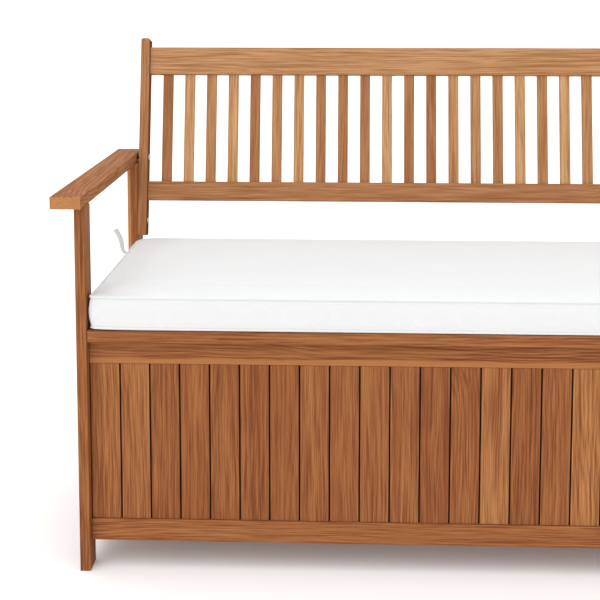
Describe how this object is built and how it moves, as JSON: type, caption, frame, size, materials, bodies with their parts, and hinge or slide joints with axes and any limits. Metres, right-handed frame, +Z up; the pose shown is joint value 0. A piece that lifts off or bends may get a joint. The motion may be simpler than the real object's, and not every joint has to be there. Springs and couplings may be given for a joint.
{
  "type": "deck storage bench",
  "caption": "Slatted hardwood storage bench: boarded box under a hinged slatted seat lid, flat armrests, reclined slatted back and a loose seat cushion with tie tapes.",
  "frame": {"origin": "on the ground, under the middle of the bench's bounding box", "axes": "+X to the right seen from the front, +Y from the front to the back, +Z up"},
  "size_m": [1.5462, 0.6032, 0.84],
  "materials": {
    "box_timber": "oiled, straight grained, satin",
    "back_timber": "oiled, straight grained, satin",
    "cushion_cover": "off-white plain weave",
    "tie_tape": "off-white folded tape",
    "hinge_steel": "zinc plated",
    "bolt_steel": "zinc plated, domed head"
  },
  "bodies": {
    "frame": {"armrest_left": "box_timber", "armrest_right": "box_timber", "back_bolt_lower_left": "bolt_steel", "back_bolt_lower_right": "bolt_steel", "back_bolt_upper_left": "bolt_steel", "back_bolt_upper_right": "bolt_steel", "back_bottom_rail": "back_timber", "back_slats": "back_timber", "back_stile_left": "back_timber", "back_stile_right": "back_timber", "back_top_rail": "back_timber", "floor_bearer_centre": "box_timber", "floor_bearer_left": "box_timber", "floor_bearer_right": "box_timber", "floor_panel": "box_timber", "front_base_rail": "box_timber", "front_corner_block_left": "box_timber", "front_corner_block_right": "box_timber", "front_panel": "box_timber", "front_post_left": "box_timber", "front_post_right": "box_timber", "front_top_rail": "box_timber", "hinge_fixed_leaf_left": "hinge_steel", "hinge_fixed_leaf_right": "hinge_steel", "hinge_pin_left": "hinge_steel", "hinge_pin_right": "hinge_steel", "rear_base_rail": "box_timber", "rear_corner_block_left": "box_timber", "rear_corner_block_right": "box_timber", "rear_panel": "box_timber", "rear_post_left": "box_timber", "rear_post_right": "box_timber", "rear_seat_board": "box_timber", "rear_top_rail": "box_timber", "side_base_rail_left": "box_timber", "side_base_rail_right": "box_timber", "side_panel_left": "box_timber", "side_panel_right": "box_timber", "side_top_rail_left": "box_timber", "side_top_rail_right": "box_timber"},
    "lid": {"hinge_moving_leaf_left": "hinge_steel", "hinge_moving_leaf_right": "hinge_steel", "lid_batten_centre": "box_timber", "lid_batten_left": "box_timber", "lid_batten_right": "box_timber", "lid_slat_1": "box_timber", "lid_slat_2": "box_timber", "lid_slat_3": "box_timber", "lid_slat_4": "box_timber", "lid_slat_5": "box_timber", "lid_slat_6": "box_timber", "lid_slat_7": "box_timber"},
    "cushion": {"cushion_tie_left": "tie_tape", "cushion_tie_right": "tie_tape", "seat_cushion": "cushion_cover"}
  },
  "joints": [
    {"name": "lid_hinge", "type": "hinge", "parent": "frame", "child": "lid", "pos_m": [0, 0.21816, 0.395], "axis": [-1, 0, 0], "range_deg": [0, 50], "deforming": ["seat_cushion", "cushion_tie_left", "cushion_tie_right"]},
    {"name": "cushion_slide", "type": "slide", "parent": "lid", "child": "cushion", "axis": [0, -1, 0], "range_m": [0, 0.3]}
  ]
}
